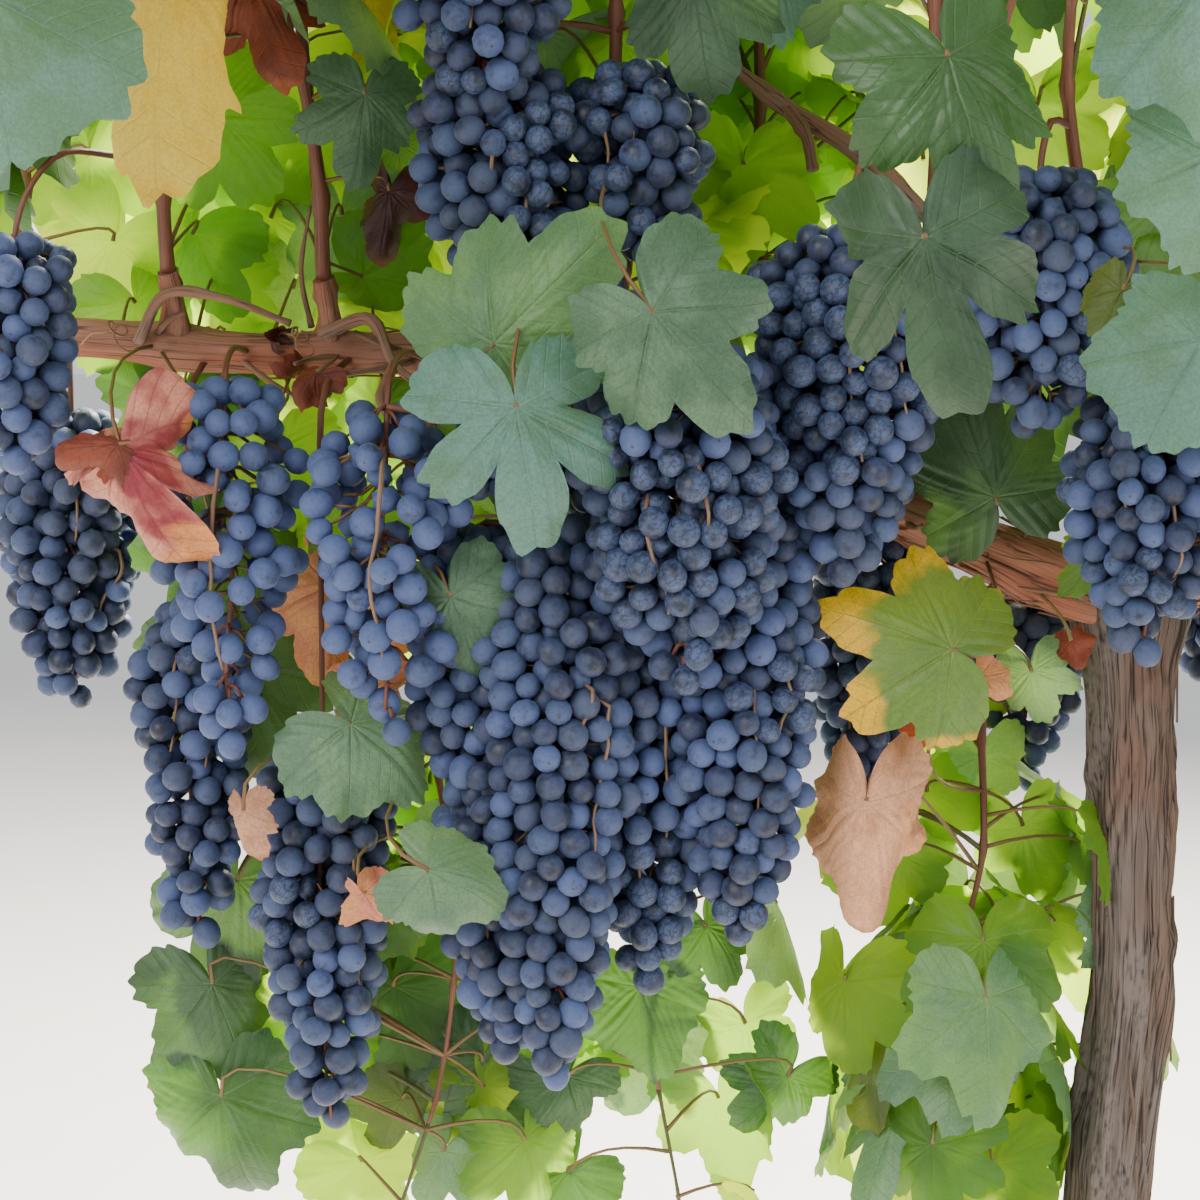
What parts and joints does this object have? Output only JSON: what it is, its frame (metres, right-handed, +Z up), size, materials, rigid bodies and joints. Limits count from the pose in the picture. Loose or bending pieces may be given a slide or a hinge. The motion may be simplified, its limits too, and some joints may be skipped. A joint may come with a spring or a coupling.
{
  "type": "grapevine",
  "caption": "Cordon-trained grapevine in fruit: a woody trunk, an arm along the row on each side, upright leafy shoots and hanging bunches of dark blue grapes.",
  "frame": {"origin": "middle of the flat cut under the trunk, at ground level", "axes": "+Z up, X along the row, -Y towards the side of the vine that shows its fruit in the picture"},
  "size_m": [1.69, 0.8477, 2.0368],
  "materials": {
    "bark": "stringy, peeling bark",
    "arm_bark": "fibrous bark in loose strips",
    "foliage": "matte leaves with raised veins",
    "fruit": "smooth skin under a pale bloom"
  },
  "bodies": {
    "root": {"trunk": "bark", "arm_left": "arm_bark", "arm_right": "arm_bark", "bunch_left_1": "fruit", "bunch_left_2": "fruit", "bunch_left_3": "fruit", "bunch_left_4": "fruit", "bunch_left_5": "fruit", "bunch_left_6": "fruit", "bunch_left_7": "fruit", "bunch_left_8": "fruit", "bunch_left_9": "fruit", "bunch_left_10": "fruit", "bunch_left_11": "fruit", "bunch_left_12": "fruit", "bunch_left_13": "fruit", "bunch_left_14": "fruit", "bunch_left_15": "fruit", "bunch_left_16": "fruit", "bunch_left_17": "fruit", "bunch_left_18": "fruit", "bunch_left_19": "fruit", "bunch_left_20": "fruit", "bunch_left_21": "fruit", "bunch_right_1": "fruit", "bunch_right_2": "fruit", "bunch_right_3": "fruit", "bunch_right_4": "fruit", "bunch_right_5": "fruit", "bunch_right_6": "fruit", "bunch_right_7": "fruit", "bunch_right_8": "fruit", "bunch_right_9": "fruit", "bunch_right_10": "fruit", "bunch_right_11": "fruit", "bunch_right_12": "fruit", "shoot_left_1": "foliage", "shoot_left_2": "foliage", "shoot_left_3": "foliage", "shoot_left_4": "foliage", "shoot_left_5": "foliage", "shoot_left_6": "foliage", "shoot_left_7": "foliage", "shoot_left_8": "foliage", "shoot_right_1": "foliage", "shoot_right_2": "foliage", "shoot_right_3": "foliage", "shoot_right_4": "foliage", "shoot_right_5": "foliage", "shoot_right_6": "foliage", "shoot_right_7": "foliage", "shoot_right_8": "foliage", "trailing_shoot_1": "foliage", "trailing_shoot_2": "foliage", "trailing_shoot_3": "foliage", "trailing_shoot_4": "foliage", "trailing_shoot_5": "foliage"}
  },
  "joints": []
}
